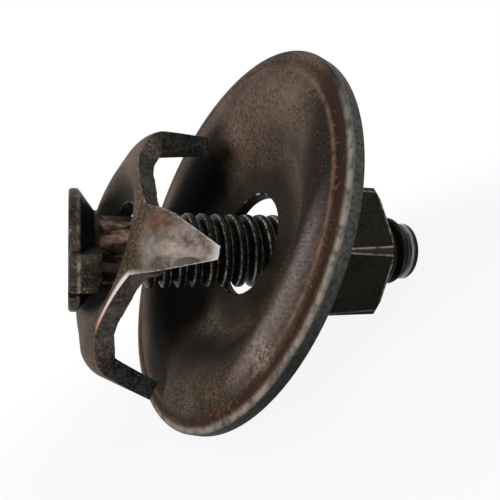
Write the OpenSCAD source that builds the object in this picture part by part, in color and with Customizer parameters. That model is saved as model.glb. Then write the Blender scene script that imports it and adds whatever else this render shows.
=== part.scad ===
// Bolted belt fastener: a headed bolt, a four-pronged claw plate, a dished saucer disc and a hex nut.
// The bolt lies tilted on the floor, held up by the disc's rim and by the edge of one nut flat.

/* [Bolt] */
// Outside diameter of the thread
thread_d = 6.35; // [5:0.05:8]
// Length of the bolt from the head's face to its free end
bolt_len = 30.7; // [29:0.1:40]
// Diameter of the plain neck under the head
neck_d = 5.5; // [4:0.1:6]
// Distance from the head's face to the end of the neck, where the thread starts
neck_end = 5.2; // [3.4:0.1:6]
// Diameter of the reduced free end
tip_d = 5.3; // [4:0.1:5.6]
// Length of the reduced free end
tip_len = 1.2; // [0.8:0.1:1.6]

/* [Bolt head] */
// Diameter of the head
head_d = 9.8; // [9:0.1:12]
// Thickness of the head's rim
head_rim = 0.85; // [0.6:0.05:1.2]
// Length of the cone under the rim
head_cone = 1.05; // [0.8:0.05:1.4]
// Diameter of the short collar under the cone
collar_d = 6.4; // [6:0.1:7]
// Length of the collar
collar_len = 0.3; // [0.2:0.05:0.6]
// Width of the nib that stops the bolt from turning
nib_w = 3.2; // [2:0.1:4]
// Length of the nib along the bolt
nib_len = 2.4; // [2:0.1:2.9]
// Width of the slit on each side of the nib
nib_slit = 0.3; // [0.2:0.05:0.5]
// Direction of the nib round the bolt, from the direction of the disc's lean
nib_turn = -77; // [-180:1:180]

/* [Claw plate] */
// Thickness of the claw's sheet
claw_t = 1.55; // [1.2:0.05:1.8]
// Distance that the claw's crest lies outside the edge of the bolt's head
crest_over = 1.6; // [1:0.1:2]
// Outside radius of the rounded crest round the seat
crest_roll = 2; // [1.9:0.1:2.4]
// Slope of the seat from the crest down to the hole
seat_slope = 25; // [20:1:35]
// Slope of the roof from the crest out to the prongs
roof_slope = 20; // [10:1:30]
// Distance from the claw's axis to the centre of the bend at the root of a prong
bend_at = 8.2; // [7.8:0.1:9]
// Angle by which the prongs splay outwards
prong_splay = 16; // [5:1:22]
// Height of the claw from the prong tips to the crest
claw_h = 6.5; // [6:0.1:8]
// Length that is worn off one of the prongs
prong_wear = 1.6; // [0:0.1:2]
// Outside radius of the bend at the root of a prong
bend_r = 2.1; // [1.9:0.1:2.6]
// Distance from the bolt's axis to the middle of each side between the prongs
side_at = 7; // [6.6:0.1:7.6]
// Width of a prong at the level of the crest
prong_w = 5.4; // [4:0.1:6]
// Width of a prong at its tip
prong_tip = 0.9; // [0.5:0.1:1.5]
// Height of the leaning head's lowest edge above the claw's crest
seat_gap = 0.1; // [0.05:0.05:1]
// Angle between the claw's axis and the bolt
claw_lean = 18; // [10:0.5:20]
// Direction of the claw's lean, from the direction of the disc's lean
claw_dir = 0; // [-30:1:30]
// Turn of the prongs round the claw's axis
prong_turn = 41; // [-45:1:45]

/* [Saucer disc] */
// Diameter of the disc
disc_d = 32.3; // [29:0.1:36]
// Thickness of the disc's sheet
disc_t = 1; // [0.8:0.05:1.6]
// Depth of the dish below the rim
dish_depth = 2.75; // [2.6:0.05:3.4]
// Radius of the highest ring of the face
crown_r = 13.2; // [12.6:0.1:13.8]
// Height of that ring above the rim
crown_h = 0.25; // [0.15:0.05:0.5]
// Radius of the shoulder from the face into the dish
shoulder_r = 5; // [4.4:0.1:5.6]
// Radius of the hollow at the foot of the dish wall
hollow_r = 3.4; // [3:0.1:4]
// Steepest slope of the dish wall
wall_slope = 46; // [42:1:48]
// Radius of the rolled front edge of the rim
rim_roll = 0.2; // [0.1:0.05:0.5]
// Radius of the rounded lip at the front of the hole
lip_r = 0.35; // [0.2:0.05:0.6]
// Distance along the bolt from the head's face to the middle of the disc's hole
disc_at = 15.1; // [15:0.1:17]
// Angle between the disc's axis and the bolt
disc_lean = 20; // [14:0.5:22]

/* [Hex nut] */
// Width of the nut across its flats
nut_af = 11.1; // [10:0.1:12.5]
// Height of the nut
nut_h = 5.6; // [4.5:0.1:6]
// Diameter at which the corner chamfers start
nut_chamfer_d = 11.7; // [11.2:0.1:12]
// Turn of the nut from the direction of the disc's lean
nut_turn = 6.5; // [-30:0.5:30]

/* [Fits] */
// Gap all round between the bolt and the nut's bore
thread_gap = 0.05; // [0.03:0.01:0.1]
// Room on each side of the bolt in the claw's hole, leaning as it does
claw_play = 0.2; // [0.1:0.05:0.4]
// Room on each side of the bolt in the disc's hole, leaning as it does
disc_play = 0.85; // [0.7:0.05:1.2]
// Distance that the disc hangs off the bolt's axis, towards its lean
disc_off = 0.6; // [0:0.05:0.6]
// Distance that the nut is backed off from the disc
nut_gap = 2.5; // [0.1:0.1:3]

/* [Hidden] */
$fn = 96;

// Small edges of the bolt and the nut
edge_round = 0.3;
neck_fillet = 0.45;
thread_lead = 0.4;
nut_chamfer_slope = 30;
// Length that a cut runs past what it cuts
over = 1;
// Largest angle between the points of an arc
arc_step = 7.5;

// Radii of the bolt, and heights along it from its free end
thread_r = thread_d / 2;
neck_r = neck_d / 2;
tip_r = tip_d / 2;
head_r = head_d / 2;
collar_r = collar_d / 2;
neck_z = bolt_len - neck_end;
rim_z = bolt_len - head_rim;
cone_z = rim_z - head_cone;
collar_z = cone_z - collar_len;
disc_z = bolt_len - disc_at;

// Hole that lets a plate of this depth lean by this much on the thread, with room to spare
function leaning_hole(depth, lean, play) = (thread_d + depth * sin(lean)) / cos(lean) + 2 * play;
claw_bore = claw_t / cos(seat_slope);
claw_hole_r = leaning_hole(claw_bore, claw_lean, claw_play) / 2;
disc_hole_r = leaning_hole(disc_t, disc_lean, disc_play) / 2;

// Section of the claw, measured from the top of its crest
crest_r = head_r + crest_over;
seat_top = [crest_r - crest_roll * sin(seat_slope), -crest_roll * (1 - cos(seat_slope))];
claw_hole_z = seat_top.y - (seat_top.x - claw_hole_r) * tan(seat_slope);
claw_mid_z = claw_hole_z - claw_bore / 2;
roof_run = bend_at - crest_r + (bend_r - crest_roll) * sin(roof_slope);
roof_drop = crest_roll * (1 - cos(roof_slope)) + roof_run * tan(roof_slope);
bend_centre = [bend_at, -roof_drop - bend_r * cos(roof_slope)];

// The leaning claw hangs on the bolt just under the head's rim
claw_z = rim_z - (seat_gap - claw_mid_z + head_r * sin(claw_lean)) / cos(claw_lean);

// Section of the disc, measured from the floor of the dish
rim_r = disc_d / 2;
face_r = rim_r - rim_roll;
crown_arc = (pow(face_r - crown_r, 2) + pow(crown_h, 2)) / (2 * crown_h);
crown_slope = asin((face_r - crown_r) / crown_arc);
crown_top = dish_depth + crown_h;
wall_drop = crown_top - (shoulder_r + hollow_r) * (1 - cos(wall_slope));
wall_run = wall_drop / tan(wall_slope);
floor_r = crown_r - (shoulder_r + hollow_r) * sin(wall_slope) - wall_run;

// The nut backs the leaning disc, which it touches at the edge of its top face
nut_r = nut_af / 2 / cos(30);
nut_face_r = nut_chamfer_d / 2;
nut_chamfer_h = (nut_r - nut_face_r) * tan(nut_chamfer_slope);
nut_top_z = disc_z - disc_t / 2 / cos(disc_lean) - nut_face_r * tan(disc_lean) - nut_gap;
nut_end_z = nut_top_z - nut_h;

// The floor touches the outer edge of one nut flat and the back edge of the disc's rim
flat_dir = nut_turn + 210;
flat_edge = [nut_af / 2 * cos(flat_dir), nut_af / 2 * sin(flat_dir), nut_end_z];
disc_axis = [sin(disc_lean), 0, cos(disc_lean)];
disc_centre = [disc_off, 0, disc_z];
rim_back = disc_centre + disc_axis * (dish_depth - disc_t / 2);
function floor_up(tilt) = [-cos(flat_dir) * cos(tilt), -sin(flat_dir) * cos(tilt), sin(tilt)];
function rim_height(up) = (rim_back - flat_edge) * up - rim_r * sqrt(1 - pow(disc_axis * up, 2));
// Tilt of the bolt at which the rim comes down to the floor, by halving the interval
function settle(low, high, steps) =
    steps == 0 ? (low + high) / 2
    : rim_height(floor_up((low + high) / 2)) < 0 ? settle((low + high) / 2, high, steps - 1)
    : settle(low, (low + high) / 2, steps - 1);
bolt_tilt = settle(0, 80, 40);

// Places a piece of the upright bolt as it lies, with the flat's edge at the origin
module laid() {
    rotate([0, bolt_tilt - 90, 0])
        rotate([0, 0, 180 - flat_dir])
            translate(-flat_edge)
                children();
}

// Points of an arc in a section plane, without its first point
function arc(centre, radius, from, to) =
    let (steps = ceil(abs(to - from) / arc_step))
    [for (i = [1:steps]) let (a = from + (to - from) * i / steps) centre + radius * [cos(a), sin(a)]];

// Section of a round plate with both outer edges rounded
module rounded_plate(radius, low, high, edge) {
    translate([0, low])
        square([radius - edge, high - low]);
    translate([0, low + edge])
        square([radius, high - low - 2 * edge]);
    for (z = [low + edge, high - edge])
        translate([radius - edge, z])
            circle(edge);
}

// Section of the bolt without its nib
module bolt_section() {
    rounded_plate(head_r, rim_z, bolt_len, edge_round);
    polygon([
        [0, rim_z + edge_round],
        [head_r - edge_round, rim_z + edge_round],
        [head_r - edge_round, rim_z],
        [collar_r, cone_z],
        [collar_r, collar_z],
        [0, collar_z]
    ]);
    difference() {
        translate([0, collar_z - neck_fillet])
            square([neck_r + neck_fillet, neck_fillet]);
        translate([neck_r + neck_fillet, collar_z - neck_fillet])
            circle(neck_fillet);
    }
    polygon([
        [0, collar_z],
        [neck_r, collar_z],
        [neck_r, neck_z],
        [thread_r, neck_z - thread_lead],
        [thread_r, tip_len],
        [tip_r, tip_len - thread_lead],
        [tip_r, edge_round],
        [tip_r - edge_round, 0],
        [0, 0]
    ]);
}

// Nib struck up against the head, flush with its rim
module nib(width, length) {
    intersection() {
        translate([neck_r, -width / 2, bolt_len - length])
            cube([head_r, width, length]);
        rotate_extrude()
            rounded_plate(head_r, bolt_len - length, bolt_len, edge_round);
    }
}

module bolt() {
    color("#3b322e")
        laid() {
            difference() {
                rotate_extrude()
                    bolt_section();
                rotate([0, 0, nib_turn])
                    translate([collar_r, -nib_w / 2 - nib_slit, cone_z])
                        cube([head_r, nib_w + 2 * nib_slit, head_r]);
            }
            rotate([0, 0, nib_turn])
                nib(nib_w, nib_len);
        }
}

// End of a prong's face that leaves its bend at this radius
function prong_end(radius) =
    let (root = bend_centre + radius * [cos(prong_splay), sin(prong_splay)])
    [root.x + (root.y + claw_h) * tan(prong_splay), -claw_h];

// Section of the pressed claw: the seat, the crest, the roof and the bend down to a prong's tip
module claw_section() {
    crest_centre = [crest_r, -crest_roll];
    roof_angle = 90 - roof_slope;
    seat_angle = 90 + seat_slope;
    inner_bend = bend_r - claw_t;
    splay_normal = [cos(prong_splay), sin(prong_splay)];
    polygon(concat(
        [[claw_hole_r, claw_hole_z - claw_bore], [claw_hole_r, claw_hole_z], seat_top],
        arc(crest_centre, crest_roll, seat_angle, roof_angle),
        [bend_centre + bend_r * [cos(roof_angle), sin(roof_angle)]],
        arc(bend_centre, bend_r, roof_angle, prong_splay),
        [prong_end(bend_r), prong_end(inner_bend), bend_centre + inner_bend * splay_normal],
        arc(bend_centre, inner_bend, prong_splay, roof_angle),
        [crest_centre + (crest_roll - claw_t) * [cos(roof_angle), sin(roof_angle)]],
        arc(crest_centre, crest_roll - claw_t, roof_angle, seat_angle)
    ));
}

// Outline of a prong that points along x and ends this far below the crest
module prong_outline(low) {
    rotate([90, 0, 90])
        linear_extrude(prong_end(bend_r).x + over)
            polygon([
                [-prong_w / 2, 0],
                [prong_w / 2, 0],
                [prong_tip / 2, -low],
                [-prong_tip / 2, -low]
            ]);
}

// Outline of the claw: a square plate with a tapered prong at each corner, one of them worn
module claw_outline() {
    rotate([0, 0, 45])
        translate([-side_at, -side_at, bend_centre.y])
            cube([2 * side_at, 2 * side_at, over - bend_centre.y]);
    for (turn = [0:90:180])
        rotate([0, 0, turn])
            prong_outline(claw_h);
    rotate([0, 0, 270])
        prong_outline(claw_h - prong_wear);
}

module claw_plate() {
    color("#54463f")
        laid()
            translate([0, 0, claw_z])
                rotate([0, claw_lean, claw_dir])
                    rotate([0, 0, prong_turn])
                        translate([0, 0, -claw_mid_z])
                            intersection() {
                                rotate_extrude()
                                    claw_section();
                                claw_outline();
                            }
}

// Section of the dished disc: its face from the hole out to the rim, then its back
module disc_section() {
    lip_centre = [disc_hole_r + lip_r, -lip_r];
    hollow_centre = [floor_r, hollow_r];
    shoulder_centre = [crown_r, crown_top - shoulder_r];
    crown_centre = [crown_r, crown_top - crown_arc];
    wall_normal = [-sin(wall_slope), cos(wall_slope)];
    polygon(concat(
        [[disc_hole_r, -disc_t], [disc_hole_r, -lip_r]],
        arc(lip_centre, lip_r, 180, 90),
        [[floor_r, 0]],
        arc(hollow_centre, hollow_r, -90, wall_slope - 90),
        [shoulder_centre + shoulder_r * wall_normal],
        arc(shoulder_centre, shoulder_r, 90 + wall_slope, 90),
        arc(crown_centre, crown_arc, 90, 90 - crown_slope),
        arc([face_r, dish_depth - rim_roll], rim_roll, 90, 0),
        [[rim_r, dish_depth - disc_t], crown_centre + (crown_arc - disc_t) * [sin(crown_slope), cos(crown_slope)]],
        arc(crown_centre, crown_arc - disc_t, 90 - crown_slope, 90),
        arc(shoulder_centre, shoulder_r - disc_t, 90, 90 + wall_slope),
        [hollow_centre - (hollow_r + disc_t) * wall_normal],
        arc(hollow_centre, hollow_r + disc_t, wall_slope - 90, -90)
    ));
}

module saucer_disc() {
    color("#5a4a42")
        laid()
            translate(disc_centre)
                rotate([0, disc_lean, 0])
                    translate([0, 0, disc_t / 2])
                        rotate_extrude()
                            disc_section();
}

module hex_nut() {
    color("#35322b")
        laid()
            translate([0, 0, nut_end_z])
                difference() {
                    intersection() {
                        rotate([0, 0, nut_turn])
                            cylinder(h = nut_h, r = nut_r, $fn = 6);
                        rotate_extrude()
                            polygon([
                                [0, 0],
                                [nut_face_r, 0],
                                [nut_r, nut_chamfer_h],
                                [nut_r, nut_h - nut_chamfer_h],
                                [nut_face_r, nut_h],
                                [0, nut_h]
                            ]);
                    }
                    translate([0, 0, -over])
                        cylinder(h = nut_h + 2 * over, r = thread_r + thread_gap);
                }
}

bolt();
claw_plate();
saucer_disc();
hex_nut();
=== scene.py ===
"""Dresses a bolted belt fastener: its bolt, claw plate, saucer disc and hex nut.

Every piece is modelled in millimetres in its own frame, keeps that frame as the attribute "own"
for its finish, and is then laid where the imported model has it.
"""

from __future__ import annotations

import logging
import math
from collections.abc import Callable, Iterable, Sequence
from dataclasses import dataclass, field
from enum import Enum
from typing import Any, Union

import bmesh
import bpy
from mathutils import Matrix, Vector

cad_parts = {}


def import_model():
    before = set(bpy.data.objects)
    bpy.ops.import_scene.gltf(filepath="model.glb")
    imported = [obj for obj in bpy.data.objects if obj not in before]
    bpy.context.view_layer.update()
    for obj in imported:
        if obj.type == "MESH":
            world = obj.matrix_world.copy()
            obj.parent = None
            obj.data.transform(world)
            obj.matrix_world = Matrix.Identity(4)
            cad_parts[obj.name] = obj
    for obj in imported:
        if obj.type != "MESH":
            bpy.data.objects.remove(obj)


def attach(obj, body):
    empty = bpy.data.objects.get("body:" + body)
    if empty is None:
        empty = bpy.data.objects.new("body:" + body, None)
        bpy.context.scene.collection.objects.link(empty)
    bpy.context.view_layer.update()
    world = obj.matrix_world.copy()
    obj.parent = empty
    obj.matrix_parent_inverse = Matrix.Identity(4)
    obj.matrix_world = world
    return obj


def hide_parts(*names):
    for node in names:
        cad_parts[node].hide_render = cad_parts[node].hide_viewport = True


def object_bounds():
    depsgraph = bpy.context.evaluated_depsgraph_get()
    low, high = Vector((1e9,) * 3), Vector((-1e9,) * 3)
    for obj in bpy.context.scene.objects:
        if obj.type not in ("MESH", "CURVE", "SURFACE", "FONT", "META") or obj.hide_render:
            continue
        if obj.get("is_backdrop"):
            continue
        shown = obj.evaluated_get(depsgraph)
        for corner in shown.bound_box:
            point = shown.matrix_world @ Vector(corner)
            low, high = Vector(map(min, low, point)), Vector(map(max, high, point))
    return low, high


LOG = logging.getLogger("belt_fastener")
MM = 0.001
MERGE = 1e-3
CUT_SNAP = 1e-5
WHITE = (1.0, 1.0, 1.0)
SHOWING_RAYS = ("Camera", "Glossy", "Transmission")

Point = tuple[float, float]
Colour = tuple[float, float, float]
Value = Union["Wire", float]
Coat = tuple[Value, Union["Wire", Colour]]


class Cut(Enum):
    """Ways in which one solid works on another."""

    AWAY = "DIFFERENCE"
    COMMON = "INTERSECT"
    JOIN = "UNION"


class Lamp(Enum):
    """The lamps of the studio, named for where they stand in the picture."""

    KEY = "key"
    FILL = "fill"
    BACK = "back"


class Side(Enum):
    """Directions across a piece, as shares of its own x and y."""

    FAR = (-0.64, 0.77)
    LOW = (-0.71, -0.71)
    OUTER = (0.64, -0.77)
    FOOT = (-0.28, -0.96)
    UPPER = (0.71, 0.71)
    GLEAMING = (0.27, -0.96)
    CORNER = (-(0.5**0.5), -(0.5**0.5))


def turn(angle: float, axis: str) -> Matrix:
    """Returns a rotation by an angle in degrees about a main axis."""
    return Matrix.Rotation(math.radians(angle), 4, axis)


def shift(x: float, y: float, z: float) -> Matrix:
    """Returns a move by three distances."""
    return Matrix.Translation((x, y, z))


def arc(centre: Point, radius: float, start: float, end: float, step: float = 3.0) -> list[Point]:
    """Works out the points of an arc in a section plane.

    Args:
        centre: Centre of the arc.
        radius: Radius of the arc.
        start: First angle, in degrees.
        end: Last angle, in degrees.
        step: Largest angle between two points.

    Returns:
        The points of the arc, both ends among them.
    """
    steps = max(1, math.ceil(abs(end - start) / step))
    angles = [math.radians(start + (end - start) * i / steps) for i in range(steps + 1)]
    return [(centre[0] + radius * math.cos(a), centre[1] + radius * math.sin(a)) for a in angles]


def stretch(start: Point, end: Point, length: float) -> list[Point]:
    """Works out points along a straight stretch of a section.

    Args:
        start: First point, which is left out.
        end: Last point, which is left out.
        length: Largest distance between two points.

    Returns:
        The points between the two ends.
    """
    steps = max(1, math.ceil(math.dist(start, end) / length))
    return [
        (start[0] + (end[0] - start[0]) * i / steps, start[1] + (end[1] - start[1]) * i / steps)
        for i in range(1, steps)
    ]


def leaning_hole(thread: float, depth: float, lean: float, play: float) -> float:
    """Works out the radius of a hole that leans on the bolt.

    Args:
        thread: Radius of the thread.
        depth: Depth of the hole.
        lean: Angle between the hole and the bolt, in degrees.
        play: Play round the thread.

    Returns:
        The radius.
    """
    angle = math.radians(lean)
    return (thread + depth / 2.0 * math.sin(angle)) / math.cos(angle) + play


class Shape:
    """A mesh under construction, in millimetres, in its piece's own frame."""

    def __init__(self) -> None:
        """Starts with an empty mesh."""
        self.mesh = bmesh.new()
        self.edge_layer = self.mesh.verts.layers.float.new("edge")

    def spin(
        self,
        points: Sequence[Point],
        steps: int,
        closed: bool = False,
        lead: float = 0.0,
        turns: int = 1,
        worn: Sequence[float] = (),
    ) -> Shape:
        """Spins a section about the axis into a solid, a sheet or a right-hand helix.

        Args:
            points: Section, as distances from the axis and heights.
            steps: Number of steps in a turn.
            closed: Whether the section is a closed ring.
            lead: Rise in one turn.
            turns: Number of turns.
            worn: How worn each point is, kept in the attribute "edge".

        Returns:
            This shape, with its faces outwards.
        """
        verts = [self.mesh.verts.new((r, 0.0, z)) for r, z in points]
        for vert, share in zip(verts, worn):
            vert[self.edge_layer] = share
        ends = [*verts[1:], verts[0]] if closed else verts[1:]
        edges = [self.mesh.edges.new(pair) for pair in zip(verts, ends)]
        bmesh.ops.spin(
            self.mesh,
            geom=[*verts, *edges],
            cent=(0, 0, 0),
            axis=(0, 0, 1),
            dvec=(0, 0, lead / steps),
            angle=math.tau * turns,
            steps=steps * turns,
            use_merge=lead == 0.0,
        )
        return self.weld().outward()

    def block(self, low: Sequence[float], high: Sequence[float]) -> Shape:
        """Adds a box between two corners.

        Args:
            low: Lowest corner.
            high: Highest corner.

        Returns:
            This shape.
        """
        size = [b - a for a, b in zip(low, high)]
        middle = [(a + b) / 2 for a, b in zip(low, high)]
        bmesh.ops.create_cube(self.mesh, size=1.0, matrix=shift(*middle) @ Matrix.Diagonal((*size, 1.0)))
        return self

    def prism(self, sides: int, radius: float, height: float, angle: float) -> Shape:
        """Adds a regular prism that stands on the section's floor.

        Args:
            sides: Number of sides.
            radius: Distance from the axis to a corner.
            height: Height of the prism.
            angle: Direction of one corner, in degrees.

        Returns:
            This shape.
        """
        made = bmesh.ops.create_circle(
            self.mesh, cap_ends=True, segments=sides, radius=radius, matrix=turn(angle - 90.0, "Z")
        )
        face = made["verts"][0].link_faces[0]
        grown = bmesh.ops.extrude_face_region(self.mesh, geom=[face])["geom"]
        tops = [g for g in grown if isinstance(g, bmesh.types.BMVert)]
        bmesh.ops.translate(self.mesh, verts=tops, vec=(0, 0, height))
        return self.weld().outward()

    def split(self, point: Sequence[float], normal: Sequence[float]) -> None:
        """Cuts the faces along a plane and keeps both sides."""
        geom = [*self.mesh.verts, *self.mesh.edges, *self.mesh.faces]
        bmesh.ops.bisect_plane(self.mesh, geom=geom, dist=CUT_SNAP, plane_co=point, plane_no=normal)

    def turned(self, angle: float) -> Shape:
        """Turns the shape about its axis by an angle in degrees."""
        bmesh.ops.rotate(self.mesh, verts=self.mesh.verts[:], matrix=turn(angle, "Z"))
        return self

    def weld(self, distance: float = MERGE) -> Shape:
        """Merges the corners that lie within a distance of each other."""
        bmesh.ops.remove_doubles(self.mesh, verts=self.mesh.verts[:], dist=distance)
        return self

    def outward(self) -> Shape:
        """Turns the faces outwards."""
        bmesh.ops.recalc_face_normals(self.mesh, faces=self.mesh.faces[:])
        return self

    def face(self, measure: Callable[[bmesh.types.BMFace], float]) -> Shape:
        """Turns a sheet over where its faces look the wrong way.

        Args:
            measure: How far a face looks the right way.

        Returns:
            This shape.
        """
        if sum(measure(face) for face in self.mesh.faces) < 0:
            bmesh.ops.reverse_faces(self.mesh, faces=self.mesh.faces[:])
        return self

    def raw(self, name: str) -> bpy.types.Object:
        """Turns the shape into an object in millimetres, for further work.

        Args:
            name: Name of the object.

        Returns:
            The object, linked to the scene.
        """
        data = bpy.data.meshes.new(name)
        self.mesh.to_mesh(data)
        self.mesh.free()
        thing = bpy.data.objects.new(name, data)
        bpy.context.scene.collection.objects.link(thing)
        return thing


def settle(thing: bpy.types.Object) -> None:
    """Works an object's modifiers into its mesh.

    Args:
        thing: The object.
    """
    made = bpy.data.meshes.new_from_object(thing.evaluated_get(bpy.context.evaluated_depsgraph_get()))
    thing.modifiers.clear()
    spent = thing.data
    thing.data = made
    bpy.data.meshes.remove(spent)


def work(body: bpy.types.Object, tool: bpy.types.Object, way: Cut) -> None:
    """Cuts, trims or joins a solid with another, which is used up.

    Args:
        body: The solid that stays.
        tool: The solid that works on it.
        way: What the tool does.
    """
    step = body.modifiers.new("work", "BOOLEAN")
    step.object = tool
    step.operation = way.value
    step.solver = "EXACT"
    settle(body)
    bpy.data.objects.remove(tool, do_unlink=True)


def lay(thing: bpy.types.Object, matrix: Matrix, sharp: float = 32.0) -> bpy.types.Object:
    """Keeps a piece's own coordinates as an attribute and moves its mesh to its place.

    Args:
        thing: Object in millimetres, in its own frame.
        matrix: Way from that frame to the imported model's, in millimetres.
        sharp: Angle, in degrees, above which an edge stays sharp.

    Returns:
        The object, in metres.
    """
    data = thing.data
    places = [0.0] * (3 * len(data.vertices))
    data.vertices.foreach_get("co", places)
    own = data.attributes.new("own", "FLOAT_VECTOR", "POINT")
    own.data.foreach_set("vector", places)
    data.transform(Matrix.Scale(MM, 4) @ matrix)
    data.polygons.foreach_set("use_smooth", [True] * len(data.polygons))
    data.set_sharp_from_angle(angle=math.radians(sharp))
    data.update()
    return thing


@dataclass(frozen=True)
class Ease:
    """A small rounding: its width in millimetres, the least angle that it rounds and its faces."""

    width: float
    angle: float
    segments: int = 2

    def round_off(self, thing: bpy.types.Object) -> None:
        """Rounds the sharp edges of a piece.

        Args:
            thing: The piece, in metres.
        """
        ease = thing.modifiers.new("ease", "BEVEL")
        ease.width = self.width * MM
        ease.segments = self.segments
        ease.limit_method = "ANGLE"
        ease.angle_limit = math.radians(self.angle)
        ease.profile = 0.5
        ease.harden_normals = True


class Wire:
    """A shader socket that Python's operators combine."""

    def __init__(self, desk: Desk, socket: bpy.types.NodeSocket) -> None:
        """Wraps a socket of a desk's node tree."""
        self.desk = desk
        self.socket = socket

    def __add__(self, other: Value) -> Wire:
        """Adds a value."""
        return self.desk.maths("ADD", self, other)

    def __sub__(self, other: Value) -> Wire:
        """Takes a value away."""
        return self.desk.maths("SUBTRACT", self, other)

    def __rsub__(self, other: Value) -> Wire:
        """Takes this away from a value."""
        return self.desk.maths("SUBTRACT", other, self)

    def __mul__(self, other: Value) -> Wire:
        """Multiplies by a value."""
        return self.desk.maths("MULTIPLY", self, other)

    def __pow__(self, other: Value) -> Wire:
        """Raises to a power."""
        return self.desk.maths("POWER", self, other)

    def __neg__(self) -> Wire:
        """Turns the sign round."""
        return self.desk.maths("SUBTRACT", 0.0, self)

    def __abs__(self) -> Wire:
        """Drops the sign."""
        return self.desk.maths("ABSOLUTE", self, 0.0)

    __radd__ = __add__
    __rmul__ = __mul__

    def most(self, *others: Value) -> Wire:
        """Finds the largest of this and other values.

        Args:
            *others: The other values.

        Returns:
            The largest value.
        """
        largest = self
        for other in others:
            largest = self.desk.maths("MAXIMUM", largest, other)
        return largest


class Desk:
    """The node tree of one finish or of the world."""

    def __init__(self, owner: bpy.types.Material | bpy.types.World) -> None:
        """Empties the node tree of a material or a world."""
        self.owner = owner
        owner.use_nodes = True
        self.tree = owner.node_tree
        self.tree.nodes.clear()

    def node(
        self,
        kind: str,
        settings: dict[str, Any] | None = None,
        sockets: dict[str | int, Any] | None = None,
        out: str | int = 0,
    ) -> Wire:
        """Adds a node.

        Args:
            kind: Type of the node.
            settings: Properties of the node, a ramp's stops among them.
            sockets: Values or wires for its inputs, by name or number.
            out: Output to return.

        Returns:
            That output, or the first input of a node that has no outputs.
        """
        made = self.tree.nodes.new(kind)
        for key, value in (settings or {}).items():
            if key == "stops":
                self._stops(made.color_ramp, value)
            else:
                setattr(made, key, value)
        for key, value in (sockets or {}).items():
            entry = made.inputs[key]
            if isinstance(value, Wire):
                self.tree.links.new(value.socket, entry)
            elif entry.type == "RGBA":
                entry.default_value = (*value[:3], 1.0)
            else:
                entry.default_value = value
        return Wire(self, made.outputs[out] if made.outputs else made.inputs[0])

    @staticmethod
    def _stops(ramp: bpy.types.ColorRamp, stops: Sequence[tuple[float, Colour]]) -> None:
        """Sets the stops of a ramp.

        Args:
            ramp: The ramp.
            stops: Place and colour of each stop.
        """
        while len(ramp.elements) < len(stops):
            ramp.elements.new(0.5)
        for element, (place, colour) in zip(ramp.elements, stops):
            element.position = place
            element.color = (*colour, 1.0)

    def maths(self, operation: str, first: Value, second: Value) -> Wire:
        """Adds a Math node for two values."""
        return self.node("ShaderNodeMath", {"operation": operation}, {0: first, 1: second})

    def read(self, name: str, out: str = "Vector") -> Wire:
        """Reads an attribute of the piece as a vector, or as a number with "Fac" for out."""
        return self.node("ShaderNodeAttribute", {"attribute_name": name}, out=out)

    def parts(self, vector: Wire) -> tuple[Wire, Wire, Wire]:
        """Splits a vector into its three numbers."""
        outputs = self.node("ShaderNodeSeparateXYZ", sockets={0: vector}).socket.node.outputs
        return Wire(self, outputs[0]), Wire(self, outputs[1]), Wire(self, outputs[2])

    def vector(self, x: Value, y: Value, z: Value) -> Wire:
        """Joins three numbers into a vector."""
        return self.node("ShaderNodeCombineXYZ", sockets={0: x, 1: y, 2: z})

    def noise(self, vector: Wire, scale: float, detail: float = 2.0, roughness: float = 0.55) -> Wire:
        """Adds a noise of a scale in features for each millimetre."""
        sockets = {"Vector": vector, "Scale": scale, "Detail": detail, "Roughness": roughness}
        return self.node("ShaderNodeTexNoise", sockets=sockets, out="Fac")

    def fade(self, value: Value, low: float, high: float) -> Wire:
        """Rises smoothly from 0 to 1 as a value goes from low to high."""
        settings = {"interpolation_type": "SMOOTHSTEP", "clamp": True}
        return self.node("ShaderNodeMapRange", settings, {0: value, 1: low, 2: high, 3: 0.0, 4: 1.0})

    def fall(self, value: Value, low: float, high: float) -> Wire:
        """Falls smoothly from 1 to 0 as a value goes from low to high."""
        return 1.0 - self.fade(value, low, high)

    def near(self, value: Wire, centre: float, half: float) -> Wire:
        """Is 1 at a value and fades to 0 at a distance from it."""
        return self.fall(abs(value - centre), 0.0, half)

    def blend(self, share: Value, first: Wire | Colour, second: Wire | Colour) -> Wire:
        """Mixes two colours by a share of the second."""
        return self.node("ShaderNodeMix", {"data_type": "RGBA"}, {0: share, 6: first, 7: second}, out=2)

    def coats(self, colour: Wire, *coats: Coat) -> Wire:
        """Lays coats over a colour.

        Args:
            colour: Colour of the ground.
            *coats: Share and colour of each coat, the lowest first.

        Returns:
            The colour on top.
        """
        for share, tint in coats:
            colour = self.blend(share, colour, tint)
        return colour

    def ramp(self, value: Wire, *stops: tuple[float, Colour]) -> Wire:
        """Turns a number into a colour."""
        return self.node("ShaderNodeValToRGB", {"stops": stops}, {0: value}, out="Color")

    def bump(self, height: Wire, depth: float, strength: float) -> Wire:
        """Turns a height from 0 to 1 into a normal, by the depth in millimetres that 1 stands for."""
        sockets = {"Height": height, "Distance": depth * MM, "Strength": strength}
        return self.node("ShaderNodeBump", sockets=sockets, out="Normal")

    def shown(self) -> Wire:
        """Is 1 for the rays that show a thing to the camera, also mirrored or through glass."""
        rays = [self.node("ShaderNodeLightPath", out=f"Is {kind} Ray") for kind in SHOWING_RAYS]
        return rays[0].most(*rays[1:])

    def done(self, **sockets: Any) -> bpy.types.Material:
        """Ends with a Principled shader.

        Args:
            **sockets: Its inputs, with underscores for spaces.

        Returns:
            The material.
        """
        named = {key.replace("_", " "): value for key, value in sockets.items()}
        shader = self.node("ShaderNodeBsdfPrincipled", sockets=named)
        self.node("ShaderNodeOutputMaterial", sockets={"Surface": shader})
        return self.owner


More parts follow.
